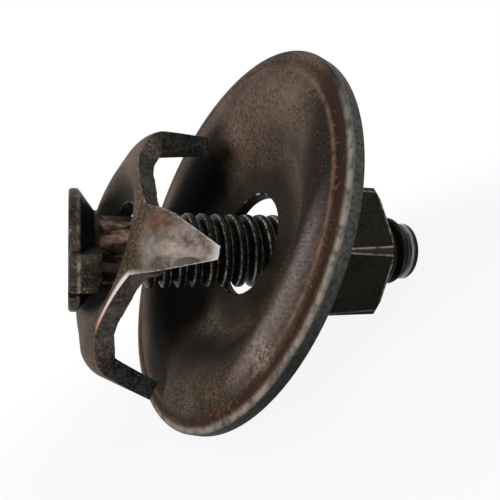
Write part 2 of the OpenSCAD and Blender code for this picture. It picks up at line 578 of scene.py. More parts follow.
@dataclass(frozen=True)
class Band:
    """A band round the axis: its distance inside the rim and half its width."""

    inset: float
    half: float


@dataclass(frozen=True)
class Place:
    """The desk of a finish with the piece's own coordinates, in millimetres."""

    desk: Desk
    own: Wire
    x: Wire
    y: Wire
    z: Wire
    radius: Wire

    @classmethod
    def start(cls, name: str) -> Place:
        """Starts a finish.

        Args:
            name: Name of the material.

        Returns:
            The place.
        """
        desk = Desk(bpy.data.materials.new(name))
        own = desk.read("own")
        x, y, z = desk.parts(own)
        return cls(desk, own, x, y, z, (x * x + y * y) ** 0.5)

    def toward(self, side: Side) -> Wire:
        """Returns how far a point lies towards a side."""
        return self.x * side.value[0] + self.y * side.value[1]

    def band(self, rim: float, band: Band) -> Wire:
        """Is 1 in the middle of a band and fades to 0 at its borders."""
        return self.desk.near(self.radius, rim - band.inset, band.half)


@dataclass(frozen=True)
class PressedSteel:
    """Blackened pressed sheet: warm brown with clouds, fine grain and tiny specks."""

    name: str
    dark: Colour = (0.032, 0.022, 0.014)
    warm: Colour = (0.088, 0.060, 0.041)
    pale: Colour = (0.165, 0.120, 0.090)
    # Painted shade: a near-black tint for hollows, the bore and shaded sides.
    shade_tint: Colour = (0.006, 0.006, 0.005)
    rust: Colour = (0.120, 0.045, 0.018)
    scuffed: Colour = (0.36, 0.295, 0.25)
    bright: Colour = (0.70, 0.71, 0.72)
    roughness: float = 0.5
    gloss: float = 0.03
    grain_depth: float = 0.035

    def ground(self, at: Place) -> tuple[Wire, Wire, Wire]:
        """Makes the sheet itself.

        Args:
            at: Place of the finish.

        Returns:
            Colour, roughness and normal.
        """
        desk = at.desk
        cloud = desk.noise(at.own, 0.2, 4.0, 0.55)
        grain = desk.noise(at.own, 5.2, 3.0, 0.75)
        fine = desk.noise(at.own, 8.0, 2.0, 0.6)
        tone = cloud * 0.35 + grain * 0.65
        colour = desk.ramp(tone, (0.42, self.dark), (0.5, self.warm), (0.58, self.pale))
        specks = desk.fade(fine, 0.66, 0.72)
        stain = desk.fade(desk.noise(at.own, 0.8, 3.0, 0.65), 0.60, 0.76)
        colour = desk.coats(colour, (specks * 0.55, self.scuffed), (stain * 0.35, self.rust))
        rough = self.roughness + (grain - 0.5) * 0.5
        return colour, rough, desk.bump(grain * 0.6 + fine * 0.4, self.grain_depth, 0.7)


@dataclass(frozen=True)
class DiscSteel(PressedSteel):
    """The disc's finish: painted shade and light on the face and in the hollow, a crease inside a rim with a
    painted highlight and sheen, and a sheared edge.
    """

    name: str = "disc_steel"
    # Painted light: tints for the lit upper face and the lit lower wall of the hollow.
    upper_light_tint: Colour = (0.24, 0.166, 0.136)
    hollow_light_tint: Colour = (0.20, 0.185, 0.135)
    seam: Band = Band(1.62, 0.30)
    seam_tint: Colour = (0.30, 0.17, 0.12)
    crease: Band = Band(1.0, 0.60)
    crease_tint: Colour = (0.036, 0.016, 0.009)
    flakes: Band = Band(2.0, 2.2)
    heap: Band = Band(0.7, 1.2)
    flake_tint: Colour = (0.34, 0.13, 0.075)
    # Painted highlight: a pale strip at the rim's front corner.
    strip: Band = Band(0.26, 0.42)
    strip_highlight: Colour = (0.40, 0.345, 0.30)
    edge_dark: Colour = (0.050, 0.051, 0.046)
    edge_pale: Colour = (0.130, 0.131, 0.120)
    sheen_radius: float = 12.6
    sheen_tint: Colour = (0.40, 0.32, 0.31)
    foil: Point = (0.2, -13.5)
    foil_tint: Colour = (0.46, 0.36, 0.27)

    def paint_shade_and_light(self, at: Place, pits: Wire) -> list[Coat]:
        """Paints shade and light: painted shade in the hollow and towards the rim, painted light on the
        upper face and the hollow's lower wall.

        Args:
            at: Place of the finish.
            pits: Fine noise of the sheet.

        Returns:
            The coats.
        """
        desk, radius = at.desk, at.radius
        drift = (desk.noise(at.own, 0.3, 3.0) - 0.5) * 6.0
        # Painted shade: darker on the hollow's far and low sides, round the hole, towards the outer rim and
        # at the lower rim.
        far = desk.fade(at.toward(Side.FAR) + drift, 2.5, 7.0) * desk.fall(radius, 11.8, 14.2)
        low = desk.fade(at.toward(Side.LOW) + drift * 0.5, 5.0, 9.0) * desk.near(radius, 10.0, 4.4)
        swept = desk.fade(-at.x - abs(at.y) * 0.8, 2.5, 5.5)
        floor = desk.fall(radius + drift * 0.2, 6.0, 8.8) * (1.0 - swept * 0.7)
        thinner = 1.0 - desk.fade(-at.y, 9.5, 12.0) * 0.4
        outer = desk.fade(at.toward(Side.OUTER) + drift * 0.2, 8.6, 11.6) * thinner
        foot_shade = desk.fade(at.toward(Side.FOOT) + drift * 0.1, 12.8, 14.2)
        # Painted light: lighter on the upper face and, olive, on the hollow's lower wall.
        upper = desk.fade(at.toward(Side.UPPER) + drift * 0.2, 7.6, 10.2) * desk.fall(radius, 12.0, 14.8)
        hollow_light = desk.near(at.x, -6.7, 3.6) * desk.near(at.y, -2.8, 3.2)
        grainy = desk.fade(pits, 0.34, 0.66)
        painted_shade = (far * 0.95).most(low * 0.82, floor * 0.75, outer * 0.86, foot_shade * 0.45)
        return [
            (upper * grainy * 0.66, self.upper_light_tint),
            (hollow_light * grainy * 0.84, self.hollow_light_tint),
            (painted_shade, self.shade_tint),
        ]

    def border(self, at: Place, pits: Wire, rim: float, face: float) -> list[Coat]:
        """Makes the seam, the crease, the flakes and the sheared edge, with painted shade on the edge's
        lower side and a painted highlight on the strip at the rim.

        Args:
            at: Place of the finish.
            pits: Fine noise of the sheet.
            rim: Radius of the rim.
            face: Height of the face at the rim.

        Returns:
            The coats.
        """
        desk = at.desk
        front = desk.fade(at.z, 1.0, 2.0)
        breaks = desk.fade(desk.noise(at.own, 1.1, 3.0), 0.34, 0.60)
        nearer = front * desk.fade(-at.y, -10.0, 2.0)
        seam = at.band(rim, self.seam) * nearer * desk.fade(at.x, -5.0, 0.0)
        crease = at.band(rim, self.crease) * nearer
        heap = at.band(rim, self.heap) * desk.fade(-at.y, 11.0, 13.0) * desk.fade(-at.x, 2.0, 5.0)
        bits = desk.fade(desk.noise(at.own, 3.4, 2.0, 0.6) + heap * 0.1, 0.62, 0.68)
        flakes = bits * at.band(rim, self.flakes) * front * breaks
        edge = desk.fade(at.radius, rim - 0.10, rim - 0.03)
        sheared = desk.ramp(pits, (0.36, self.edge_dark), (0.66, self.edge_pale))
        # Painted shade: the sheared edge darker towards its lower side.
        under = edge * desk.fade(at.toward(Side.LOW), 1.0, 11.0)
        flush = desk.fade(at.z, face - 0.18, face - 0.04)
        # Painted highlight: a pale strip along the rim's front corner, broken by noise.
        strip = at.band(rim, self.strip) * flush * desk.fade(-at.y, 1.0, 9.0)
        return [
            (seam * (0.15 + breaks * 0.35), self.seam_tint),
            (crease * (0.65 + breaks * 0.3), self.crease_tint),
            (flakes * 0.6, self.flake_tint),
            (edge, sheared),
            (under * 0.75, self.shade_tint),
            (strip * (0.2 + breaks * 0.55), self.strip_highlight),
        ]

    def wear(self, at: Place, hole: float) -> list[Coat]:
        """Makes the painted sheen, the foil-like specks, the painted highlight on the hole's lip and the
        painted shade inside the hole.

        Args:
            at: Place of the finish.
            hole: Radius of the hole.

        Returns:
            The coats.
        """
        desk, x, y = at.desk, at.x, at.y
        brushed = desk.vector(x * 2.0 + y, x * 0.2 - y * 0.4, at.z)
        streaks = desk.fade(desk.noise(brushed, 3.0, 3.0, 0.65), 0.40, 0.60)
        # Painted sheen: lighter, with streaks, towards the lower right of the face.
        rubbed = desk.fade(at.toward(Side.GLEAMING), 10.6, 12.6) * desk.near(at.radius, self.sheen_radius, 2.2)
        across, along = x - self.foil[0], y - self.foil[1]
        spot = desk.fall((across * across + along * along) ** 0.5, 0.4, 1.9)
        foil = spot * desk.fade(desk.noise(at.own, 2.6, 3.0, 0.7), 0.46, 0.58)
        # Painted highlight on the hole's lip.
        lip = desk.near(at.radius, hole + 0.14, 0.12) * desk.fade(desk.noise(at.own, 0.5, 2.0), 0.5, 0.62)
        # Painted shade inside the hole.
        inside = desk.fall(at.radius, hole + 0.02, hole + 0.10)
        return [
            (rubbed * (0.25 + streaks * 0.3), self.sheen_tint),
            (foil * 0.5, self.foil_tint),
            (lip * 0.8, self.bright),
            (inside * 0.9, self.shade_tint),
        ]

    def make(self, rim: float, hole: float, face: float) -> bpy.types.Material:
        """Makes the disc's finish.

        Args:
            rim: Radius of the rim.
            hole: Radius of the hole.
            face: Height of the face at the rim.

        Returns:
            The material.
        """
        at = Place.start(self.name)
        colour, rough, normal = self.ground(at)
        pits = at.desk.noise(at.own, 3.2, 3.0, 0.65)
        coats = [*self.paint_shade_and_light(at, pits), *self.border(at, pits, rim, face), *self.wear(at, hole)]
        colour = at.desk.coats(colour, *coats)
        return at.desk.done(Base_Color=colour, Roughness=rough, Specular_IOR_Level=self.gloss, Normal=normal)


@dataclass(frozen=True)
class ClawSteel(PressedSteel):
    """The claw plate's finish: painted shade in the seat, a scuffed prong in front with a painted highlight
    at its tip, and painted highlights along its worn edges and near side.
    """

    name: str = "claw_steel"
    tooth_dark: Colour = (0.15, 0.115, 0.092)
    tooth_pale: Colour = (0.50, 0.41, 0.36)
    # Tint for the painted shade at the tooth's root and for its darker blots.
    shade_and_smudge: Colour = (0.050, 0.043, 0.036)
    glint: Colour = (0.84, 0.72, 0.65)
    ember: Colour = (0.50, 0.25, 0.13)

    def make(self, tip: float, side: float) -> bpy.types.Material:
        """Makes the claw's finish.

        Args:
            tip: Height of the worn prong's tip.
            side: Distance from the axis to the sides.

        Returns:
            The material.
        """
        at = Place.start(self.name)
        desk, own, x, y, z = at.desk, at.own, at.x, at.y, at.z
        colour, rough, normal = self.ground(at)
        # Painted shade in the seat round the hole.
        bowl = desk.fall(at.radius, 4.6, 6.4)
        tooth = desk.fade(-y, 7.4, 9.2) * desk.near(x, 0.0, 4.0)
        wear = desk.noise(own, 0.75, 5.0, 0.7)
        scuff = desk.fade(wear, 0.36, 0.62)
        face = desk.ramp(wear, (0.38, self.tooth_dark), (0.5, self.scuffed), (0.63, self.tooth_pale))
        grit = desk.fall(desk.noise(own, 2.2, 4.0, 0.75), 0.38, 0.58)
        # Painted shade at the tooth's root where it bends down, with darker blots low on the tooth and grit.
        root = desk.fall(-z, 0.9, 2.1)
        low = desk.fade(-x - z * 0.24, 1.20, 1.75) * desk.near(z, -3.1, 1.5)
        blot = desk.fade(low + desk.noise(own, 1.5, 3.0, 0.7) * 0.9, 0.72, 1.05)
        stain = (root * (1.0 - wear) * 1.25).most(blot * 0.9, grit * 0.45)
        # Painted highlight near the worn prong's tip.
        shine = desk.fall(z, tip + 0.1, tip + 0.8)
        patch = desk.near(x, 1.3, 1.2) * desk.near(z, -0.9, 0.9) * (1.0 - scuff * 0.4)
        # Painted highlights, pale turning orange towards the line's far end, on the worn edges, most on the
        # tooth's lower edge, and as a line along the near side.
        worn = desk.fade(desk.read("edge", "Fac"), 0.30, 0.9) * (scuff * 0.35).most(tooth * wear * 1.3)
        between = desk.fade(-x, 2.0, 2.8) * desk.fade(-y, 2.6, 3.6)
        breaks = desk.fade(desk.noise(own, 0.6, 2.0), 0.26, 0.40)
        line = desk.fade(at.toward(Side.CORNER), side - 0.46, side - 0.22) * between * breaks
        glint = desk.blend(desk.fade(-x, 4.4, 6.6), self.glint, self.ember)
        colour = desk.coats(
            colour,
            (bowl * 0.92, self.shade_tint),
            (tooth * 0.92, face),
            (tooth * stain, self.shade_and_smudge),
            (tooth * shine * 0.8, self.bright),
            (tooth * patch * 1.4, self.rust),
            ((line * 0.95).most(worn), glint),
        )
        rough = rough - line * 0.2
        return desk.done(Base_Color=colour, Roughness=rough, Specular_IOR_Level=self.gloss, Normal=normal)


@dataclass(frozen=True)
class ShearedSteel:
    """Charcoal sheared edge of a sheet, gritty with pale specks, with painted shade on the prongs."""

    name: str = "sheared_steel"
    dark: Colour = (0.022, 0.020, 0.017)
    pale: Colour = (0.140, 0.124, 0.103)
    shaded_prong_dark: Colour = (0.007, 0.008, 0.008)
    shaded_prong_pale: Colour = (0.062, 0.066, 0.064)
    speck: Colour = (0.52, 0.51, 0.48)
    roughness: float = 0.5
    gloss: float = 0.08
    grit_depth: float = 0.09

    def make(self) -> bpy.types.Material:
        """Makes the finish of a sheared edge.

        Returns:
            The material.
        """
        at = Place.start(self.name)
        desk = at.desk
        grit = desk.noise(at.own, 3.4, 4.0, 0.75)
        patch = desk.noise(at.own, 0.5, 3.0, 0.6)
        tone = grit * 0.65 + patch * 0.35
        sides = desk.ramp(tone, (0.41, self.dark), (0.60, self.pale))
        # Painted shade: the sheared edge darker lower down, on the prongs.
        prongs = desk.ramp(tone, (0.41, self.shaded_prong_dark), (0.60, self.shaded_prong_pale))
        specks = desk.fade(desk.noise(at.own, 4.5, 3.0, 0.7), 0.62, 0.70)
        colour = desk.coats(sides, (desk.fade(-at.z, 2.2, 3.4), prongs), (specks * 0.7, self.speck))
        normal = desk.bump(grit, self.grit_depth, 0.9)
        rough = self.roughness + (patch - 0.5) * 0.3
        return desk.done(Base_Color=colour, Roughness=rough, Specular_IOR_Level=self.gloss, Normal=normal)


@dataclass(frozen=True)
class ForgedSteel:
    """Oiled black steel, bright where it is worn."""

    name: str
    dark: Colour = (0.004, 0.004, 0.0035)
    body: Colour = (0.018, 0.016, 0.012)
    speck: Colour = (0.26, 0.23, 0.19)
    worn: Colour = (0.72, 0.68, 0.62)
    roughness: float = 0.34
    gloss: float = 0.05

    def ground(self, at: Place) -> tuple[Wire, Wire, Wire]:
        """Makes the steel itself.

        Args:
            at: Place of the finish.

        Returns:
            Colour, clouds and grain.
        """
        desk = at.desk
        cloud = desk.noise(at.own, 0.4, 4.0, 0.6)
        grain = desk.noise(at.own, 3.8, 4.0, 0.75)
        colour = desk.ramp(cloud * 0.3 + grain * 0.7, (0.42, self.dark), (0.58, self.body))
        specks = desk.fade(desk.noise(at.own, 6.5, 2.0, 0.6), 0.66, 0.72)
        return desk.coats(colour, (specks * 0.5, self.speck)), cloud, grain


@dataclass(frozen=True)
class BoltSteel(ForgedSteel):
    """The bolt's finish: worn crests, a brown neck and head with painted highlights, painted shade under the
    head, and a brushed end with a painted highlight ring.
    """

    name: str = "bolt_steel"
    brown_dark: Colour = (0.014, 0.010, 0.006)
    brown_pale: Colour = (0.075, 0.056, 0.040)
    # Pinkish tint of the painted highlight on the neck.
    scuffed: Colour = (0.40, 0.26, 0.195)
    # Painted highlight ring on the reduced end, with brushed lines.
    tip_gleam_dark: Colour = (0.07, 0.07, 0.073)
    tip_gleam_pale: Colour = (0.42, 0.42, 0.44)
    coat_roughness: float = 0.22
    grain_depth: float = 0.03

    def make(self, neck: float, head: float, rim: float) -> bpy.types.Material:
        """Makes the bolt's finish.

        Args:
            neck: Height at which the plain neck starts.
            head: Height of the underside of the head's rim.
            rim: Radius of the head.

        Returns:
            The material.
        """
        at = Place.start(self.name)
        desk, own, x, y, z, radius = at.desk, at.own, at.x, at.y, at.z, at.radius
        colour, cloud, grain = self.ground(at)
        plain = desk.fade(z, neck - 0.2, neck + 0.2)
        brown = desk.ramp(cloud * 0.6 + grain * 0.4, (0.40, self.brown_dark), (0.60, self.brown_pale))
        shank = plain * desk.fall(z, head - 1.6, head - 1.2)
        # Painted highlight: pinkish patches on the neck.
        neck_gleam = desk.fade(desk.noise(desk.vector(x, y, z * 0.4), 0.9, 3.0, 0.6), 0.46, 0.60)
        # Painted shade: the cone under the head's rim near-black.
        under = desk.fade(z, head - 1.5, head - 1.1) * desk.fall(z, head - 0.05, head + 0.15)
        rubbed = desk.fade(desk.noise(own, 1.4, 3.0, 0.65), 0.40, 0.62)
        nicks = desk.fade(desk.noise(own, 3.0, 3.0, 0.7), 0.42, 0.58)
        ridge = desk.fade(desk.read("edge", "Fac"), 0.30, 0.90) * desk.fade(z, 4.2, 5.0)
        crest = ridge * (0.10 + nicks * (0.3 + rubbed * 0.6))
        grit = desk.fade(desk.noise(own, 4.2, 4.0, 0.75), 0.55, 0.63)
        outer = desk.fade(radius, rim - 0.35, rim - 0.05) * plain
        # Painted highlight along the head's rim corner.
        corner = desk.near(z, head + 0.1, 0.22) * outer * (0.08 + rubbed * 0.3)
        # Painted highlight: a bright brushed ring round the reduced end.
        tip = desk.near(z, 0.75, 0.40)
        lines = desk.noise(desk.vector(x * 0.6, y * 0.6, z * 6.0), 1.2, 3.0, 0.6)
        colour = desk.coats(
            colour,
            (plain * 0.9, brown),
            (shank * neck_gleam * 0.85, self.scuffed),
            (under * desk.fall(radius, rim - 0.25, rim) * 0.9, self.dark),
            ((crest * 0.95).most(outer * rubbed * grit * 0.28, corner), self.worn),
            (tip * 0.8, desk.ramp(lines, (0.35, self.tip_gleam_dark), (0.65, self.tip_gleam_pale))),
        )
        return desk.done(
            Base_Color=colour,
            Roughness=self.roughness + (grain - 0.5) * 0.3 + plain * 0.05 - tip * 0.08,
            Metallic=tip * 0.6,
            Specular_IOR_Level=self.gloss,
            Coat_Weight=tip * 0.9,
            Coat_Roughness=self.coat_roughness,
            Normal=desk.bump(grain, self.grain_depth, 0.6),
        )


@dataclass(frozen=True)
class NutSteel(ForgedSteel):
    """The nut's finish: worn lines beside its corners, a worn rim and rust at the bore."""

    name: str = "nut_steel"
    dark: Colour = (0.003, 0.003, 0.002)
    body: Colour = (0.030, 0.028, 0.019)
    corner_tint: Colour = (0.105, 0.080, 0.068)
    rust: Colour = (0.30, 0.10, 0.03)
    roughness: float = 0.44
    grain_depth: float = 0.05

    def make(self, corner: float, bore: float, height: float) -> bpy.types.Material:
        """Makes the nut's finish.

        Args:
            corner: Distance from the axis to a corner.
            bore: Radius of the bore.
            height: Height of the nut.

        Returns:
            The material.
        """
        at = Place.start(self.name)
        desk, z, radius = at.desk, at.z, at.radius
        colour, cloud, grain = self.ground(at)
        rubbed = desk.fade(desk.noise(at.own, 2.0, 3.0, 0.65), 0.34, 0.58)
        width = 0.42 - z * (0.30 / height)
        past = (corner - radius) * 2.0 - width
        lines = desk.near(past, 0.0, 0.13) * (0.25 + rubbed * 0.75)
        rims = desk.fall(z, 0.06, 0.24) * desk.fade(radius, corner - 1.1, corner - 0.8)
        mouth = desk.near(radius, bore + 0.4, 0.6) * desk.fall(z, 0.1, 0.7)
        spots = desk.fade(desk.noise(at.own, 0.6, 3.0, 0.7), 0.48, 0.62)
        colour = desk.coats(
            colour,
            (desk.fall(past, -0.12, 0.0) * 0.55, self.corner_tint),
            ((lines * 0.85).most(rims * rubbed * 0.8), self.worn),
            (mouth * spots, self.rust),
        )
        rough = self.roughness + (cloud - 0.5) * 0.3
        normal = desk.bump(grain * 0.6 + cloud * 0.4, self.grain_depth, 0.7)
        return desk.done(Base_Color=colour, Roughness=rough, Specular_IOR_Level=self.gloss, Normal=normal)


@dataclass(frozen=True)
class Rest:
    """How the fastener lies: on the end of one of the nut's flats, with the bolt tilted."""

    tilt: float = 27.5908
    flat: float = 210.0

    def matrix(self, nut: HexNut) -> Matrix:
        """Works out the way from the upright bolt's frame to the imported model's.

        Args:
            nut: The nut, whose flat ends at the origin.

        Returns:
            The way, in millimetres.
        """
        flat_down = turn(180.0 - self.flat - nut.turned, "Z")
        return turn(self.tilt - 90.0, "Y") @ shift(nut.flats / 2.0, 0, -nut.end) @ flat_down


@dataclass
class Bolt:
    """The bolt: head with its nib, plain neck, rolled thread and reduced end."""

    length: float = 30.7
    thread: float = 3.175
    root: float = 2.62
    crest: float = 0.62
    shoulder: float = 0.10
    lead: float = 1.27
    neck: float = 2.75
    neck_end: float = 5.2
    tip: float = 2.65
    tip_length: float = 1.2
    head: float = 4.9
    rim: float = 0.85
    cone: float = 1.05
    collar: float = 3.2
    collar_length: float = 0.3
    nib: Point = (3.2, 2.4)
    nib_inset: Point = (0.18, 0.02)
    nib_turn: float = -77.0
    nib_round: float = 0.4
    nib_facets: int = 4
    slit: float = 0.3
    round: float = 0.3
    round_step: float = 15.0
    fillet: float = 0.45
    core_sink: float = 0.06
    tip_back: tuple[Point, Point] = ((0.0, -0.4), (0.18, -0.25))
    core_start: float = 0.1
    core_end: float = 0.6
    valley: float = 0.08
    flank_top: Point = (0.10, 0.055)
    crest_bow: Point = (0.3, 0.095)
    crest_flat: float = 0.15
    phase: float = 0.045
    run_in: Point = (0.2, 1.1)
    run_out: Point = (0.08, 0.8)
    turns: int = 19
    turn_steps: int = 64
    steps: int = 160
    ease: Ease = Ease(0.07, 50.0)
    finish: BoltSteel = BoltSteel()

    def section(self) -> list[Point]:
        """Draws the bolt's section.

        Returns:
            Its points, from the free end to the head's face.
        """
        under = self.length - self.rim
        cone = under - self.cone
        collar = cone - self.collar_length
        core = self.root - self.core_sink
        neck = self.length - self.neck_end
        step = self.round_step
        return [
            (0.0, 0.0),
            *arc((self.tip - self.round, self.round), self.round, -90, 0, step),
            *((self.tip - inset, self.tip_length + rise) for inset, rise in self.tip_back),
            (core, self.tip_length + self.core_start),
            (core, neck - self.core_end),
            (self.neck, neck),
            *arc((self.neck + self.fillet, collar - self.fillet), self.fillet, 180, 90, step),
            (self.collar, collar),
            (self.collar, cone),
            *arc((self.head - self.round, under + self.round), self.round, -45, 0, step),
            *arc((self.head - self.round, self.length - self.round), self.round, 0, 90, step),
            (0.0, self.length),
        ]

    def body(self) -> bpy.types.Object:
        """Makes the turned body with the nib struck up at the head's edge.

        Returns:
            The body.
        """
        cone = self.length - self.rim - self.cone
        half = self.nib[0] / 2.0
        wide = half + self.slit
        aside, below = self.nib_inset
        body = Shape().spin(self.section(), self.steps).raw("bolt_body")
        gap = Shape().block((self.collar, -wide, cone), (2 * self.head, wide, 2 * self.length))
        nib = Shape().block(
            (self.neck, -half, self.length - self.nib[1]), (self.head - aside, half, self.length - below)
        )
        bmesh.ops.bevel(
            nib.mesh,
            geom=nib.mesh.edges[:],
            offset=self.nib_round,
            offset_type="OFFSET",
            segments=self.nib_facets,
            profile=0.5,
            affect="EDGES",
            material=-1,
        )
        for tool, way in ((gap, Cut.AWAY), (nib, Cut.JOIN)):
            work(body, tool.turned(self.nib_turn).raw("tool"), way)
        return body

    def reach(self, z: float) -> float:
        """Works out how far the thread may stand out.

        Args:
            z: Height on the bolt.

        Returns:
            The largest radius at that height.
        """
        low = self.tip - self.run_in[0] + max(0.0, z - self.tip_length) * self.run_in[1]
        high = self.neck - self.run_out[0] + max(0.0, self.length - self.neck_end - z) * self.run_out[1]
        return min(self.thread, low, high)

    def helix(self) -> bpy.types.Object:
        """Makes the thread, which runs out at the neck and at the reduced end.

        Returns:
            The thread.
        """
        middle = self.lead / 2.0
        start = middle - self.crest / 2.0
        top = self.thread - self.shoulder
        # Radius, height and wear of the flank that rises from the root to the middle of the crest.
        rising = [
            (self.root, 0.0, 0.0),
            (self.root, self.valley, 0.0),
            (top - self.flank_top[0], start - self.flank_top[1], 0.3),
            (top, start, 1.0),
            (self.thread - self.shoulder * self.crest_bow[0], start + self.crest_bow[1], 0.5),
            (self.thread, middle - self.crest_flat / 2.0, 0.0),
        ]
        falling = [(r, self.lead - z, share) for r, z, share in reversed(rising)]
        section = [(r, z + self.phase) for r, z, _ in rising + falling]
        worn = [share for _, _, share in rising + falling]
        shape = Shape().spin(section, self.turn_steps, lead=self.lead, turns=self.turns, worn=worn)
        for vert in shape.mesh.verts:
            vert.co.xy *= min(1.0, self.reach(vert.co.z) / vert.co.xy.length)
        return shape.face(lambda f: f.normal.xy.dot(f.calc_center_median().xy)).raw("bolt_thread")

    def build(self, rest: Matrix) -> list[bpy.types.Object]:
        """Builds and dresses the bolt.

        Args:
            rest: Way from the bolt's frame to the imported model's.

        Returns:
            The bolt's pieces.
        """
        steel = self.finish.make(self.length - self.neck_end, self.length - self.rim, self.head)
        pieces = [self.body(), self.helix()]
        for piece in pieces:
            lay(piece, rest)
            piece.data.materials.clear()
            piece.data.materials.append(steel)
            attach(piece, "bolt")
        self.ease.round_off(pieces[0])
        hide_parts("bolt")
        return pieces


@dataclass
class ClawPlate:
    """The pressed claw plate: seat, crest, roof and turned-down prongs."""

    bolt: Bolt
    sheet: float = 1.55
    crest_over: float = 1.6
    roll: float = 2.0
    seat_slope: float = 25.0
    roof_slope: float = 20.0
    bend_at: float = 8.2
    bend_radius: float = 2.1
    splay: float = 16.0
    height: float = 6.5
    wear: float = 1.6
    side: float = 7.0
    prong: float = 5.4
    tip: float = 0.9
    lean: float = 18.0
    prongs: int = 4
    worn_prong: int = 3
    prong_turn: float = 41.0
    play: float = 0.2
    seat_gap: float = 0.1
    facet: float = 0.3
    arc_step: float = 4.0
    steps: int = 240
    merge: float = 0.06
    ease: Ease = Ease(0.08, 55.0)
    finish: ClawSteel = ClawSteel()
    edge: ShearedSteel = ShearedSteel()
    crest: float = field(init=False)
    hole: Point = field(init=False)
    bend: Point = field(init=False)
    middle: float = field(init=False)
    along: float = field(init=False)

    def __post_init__(self) -> None:
        """Works out the crest, the hole's edge, the bend's centre and the place on the bolt."""
        seat, roof, lean = (math.radians(a) for a in (self.seat_slope, self.roof_slope, self.lean))
        self.crest = self.bolt.head + self.crest_over
        bore = self.sheet / math.cos(seat)
        hole = leaning_hole(self.bolt.thread, bore, self.lean, self.play)
        seat_run = self.crest - self.roll * math.sin(seat) - hole
        hole_top = -self.roll * (1 - math.cos(seat)) - seat_run * math.tan(seat)
        roof_run = self.bend_at - self.crest + (self.bend_radius - self.roll) * math.sin(roof)
        roof_drop = self.roll * (1 - math.cos(roof)) + roof_run * math.tan(roof)
        self.hole = (hole, hole_top)
        self.bend = (self.bend_at, -roof_drop - self.bend_radius * math.cos(roof))
        self.middle = hole_top - bore / 2.0
        below = (self.seat_gap - self.middle + self.bolt.head * math.sin(lean)) / math.cos(lean)
        self.along = self.bolt.length - self.bolt.rim - below

    def section(self) -> list[Point]:
        """Draws the section of the upper face.

        Returns:
            Its points, from the hole out to the tip of a prong.
        """
        roof = 90.0 - self.roof_slope
        seat = arc((self.crest, -self.roll), self.roll, 90 + self.seat_slope, roof, self.arc_step)
        bend = arc(self.bend, self.bend_radius, roof, self.splay, self.arc_step)
        out = math.tan(math.radians(self.splay))
        end = (bend[-1][0] + (bend[-1][1] + self.height) * out, -self.height)
        return [
            self.hole,
            *stretch(self.hole, seat[0], self.facet),
            *seat,
            *stretch(seat[-1], bend[0], self.facet),
            *bend,
            *stretch(bend[-1], end, self.facet),
            end,
        ]

    def low(self, index: int) -> float:
        """Returns the depth of a prong's tip below the crest."""
        return self.height - (self.wear if index == self.worn_prong else 0.0)

    def spin(self, index: int) -> Matrix:
        """Returns the turn from the first prong to another one."""
        return turn(360.0 / self.prongs * index, "Z")

    def outside(self, place: Vector) -> bool:
        """Tells whether a point of the sheet is cut away between the prongs.

        Args:
            place: Point in the claw's own frame.

        Returns:
            Whether it is cut away.
        """
        for index in range(self.prongs):
            local = self.spin(-index) @ place
            low = self.low(index)
            width = self.prong + (self.tip - self.prong) * -place.z / low
            if local.x > 0 and abs(local.y) <= width / 2.0 and place.z >= -low:
                return False
        return abs(place.x) + abs(place.y) > self.corner() or place.z < self.bend[1]

    def corner(self) -> float:
        """Returns the distance from the axis to where two sides would meet."""
        return self.side * 2**0.5

    def blank(self) -> Shape:
        """Presses the sheet and cuts it out along its sides and prongs.

        Returns:
            The upper face of the plate.
        """
        shape = Shape().spin(self.section(), self.steps).face(lambda f: f.normal.z * f.calc_area())
        for index in range(self.prongs):
            spin = self.spin(index)
            low = self.low(index)
            shape.split(spin @ Vector((self.corner(), 0, 0)), spin @ Vector((1, 1, 0)).normalized())
            for hand in (1.0, -1.0):
                edge = Vector((0, hand * self.prong / 2.0, 0))
                normal = Vector((0, hand * low, -(self.prong - self.tip) / 2.0)).normalized()
                shape.split(spin @ edge, spin @ normal)
            shape.split((0, 0, -low), (0, 0, 1))
        waste = [f for f in shape.mesh.faces if self.outside(f.calc_center_median())]
        bmesh.ops.delete(shape.mesh, geom=waste, context="FACES")
        shape.weld(self.merge)
        for vert in shape.mesh.verts:
            vert[shape.edge_layer] = float(vert.is_boundary)
        return shape

    def thicken(self, plate: bpy.types.Object) -> None:
        """Gives the sheet its thickness, downwards, with the second finish on the sheared edges.

        Args:
            plate: The upper face.
        """
        wall = plate.modifiers.new("sheet", "SOLIDIFY")
        wall.thickness = self.sheet
        wall.offset = -1.0
        wall.use_even_offset = True
        wall.material_offset_rim = 1
        settle(plate)

    def build(self, rest: Matrix) -> list[bpy.types.Object]:
        """Builds and dresses the claw plate.

        Args:
            rest: Way from the bolt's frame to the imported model's.

        Returns:
            The claw plate.
        """
        plate = self.blank().raw("claw_plate_pressed")
        plate.data.materials.append(self.finish.make(-self.low(self.worn_prong), self.side))
        plate.data.materials.append(self.edge.make())
        self.thicken(plate)
        leaning = shift(0, 0, self.along) @ turn(self.lean, "Y")
        lay(plate, rest @ leaning @ turn(self.prong_turn, "Z") @ shift(0, 0, -self.middle))
        self.ease.round_off(plate)
        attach(plate, "claw")
        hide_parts("claw_plate")
        return [plate]


